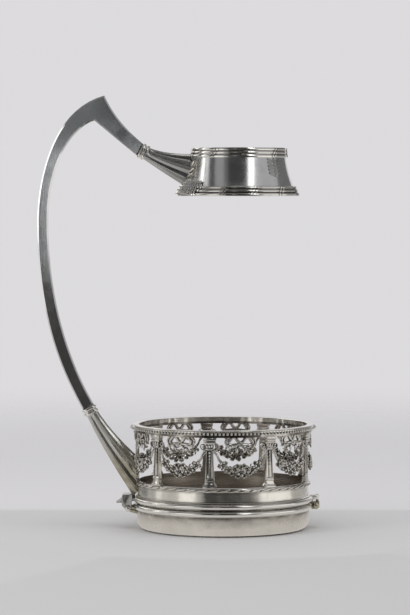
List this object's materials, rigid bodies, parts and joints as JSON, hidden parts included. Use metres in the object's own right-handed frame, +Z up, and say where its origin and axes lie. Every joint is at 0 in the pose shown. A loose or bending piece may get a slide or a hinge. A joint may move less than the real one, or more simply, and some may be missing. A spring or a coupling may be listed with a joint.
{
  "type": "bottle holder",
  "caption": "Silver-plated bottle holder with an openwork basket on a hinged, latched cup, a tall side handle and a flared neck collar.",
  "frame": {"origin": "centre of the cup's flat underside, on the basket's axis", "axes": "+Z up; -X towards the handle and the hinge, +X towards the catch; -Y is the front"},
  "size_m": [0.1623, 0.107, 0.249],
  "materials": {
    "polished_silver": "polished",
    "worn_silver": "satin",
    "chased_silver": "satin",
    "satin_silver": "satin",
    "steel": "polished"
  },
  "bodies": {
    "stand": {"drum_band": "polished_silver", "band_moulding": "polished_silver", "ribbon_border": "chased_silver", "rim_band": "polished_silver", "bead_wire": "chased_silver", "pilaster_1": "chased_silver", "bow_1": "chased_silver", "swag_1": "chased_silver", "pilaster_2": "chased_silver", "bow_2": "chased_silver", "swag_2": "chased_silver", "pilaster_3": "chased_silver", "bow_3": "chased_silver", "swag_3": "chased_silver", "pilaster_4": "chased_silver", "bow_4": "chased_silver", "swag_4": "chased_silver", "pilaster_5": "chased_silver", "bow_5": "chased_silver", "swag_5": "chased_silver", "pilaster_6": "chased_silver", "bow_6": "chased_silver", "swag_6": "chased_silver", "pilaster_7": "chased_silver", "bow_7": "chased_silver", "swag_7": "chased_silver", "pilaster_8": "chased_silver", "bow_8": "chased_silver", "swag_8": "chased_silver", "pilaster_9": "chased_silver", "bow_9": "chased_silver", "swag_9": "chased_silver", "lower_socket": "worn_silver", "lower_ferrule": "polished_silver", "handle_bar": "worn_silver", "upper_ferrule": "polished_silver", "upper_socket": "worn_silver", "palmette": "chased_silver", "neck_collar": "polished_silver", "collar_top_rim": "polished_silver", "collar_foot_rim": "polished_silver", "hinge_leaf_upper": "worn_silver", "hinge_pin": "steel", "catch_keeper": "polished_silver"},
    "cup": {"cup_shell": "satin_silver", "cup_moulding": "polished_silver", "hinge_leaf_lower": "worn_silver", "catch_bracket": "worn_silver", "catch_pin": "steel"},
    "catch": {"catch_lever": "polished_silver"}
  },
  "joints": [
    {"name": "cup_hinge", "type": "hinge", "parent": "stand", "child": "cup", "pos_m": [-0.0547, 0, 0.0117], "axis": [0, 1, 0], "range_deg": [0, 100]},
    {"name": "catch_pivot", "type": "hinge", "parent": "cup", "child": "catch", "pos_m": [0.0535, 0, 0.0132], "axis": [0, 1, 0], "range_deg": [0, 20], "stiffness_Nm_per_rad": 0.004, "springref_deg": -17.19}
  ]
}
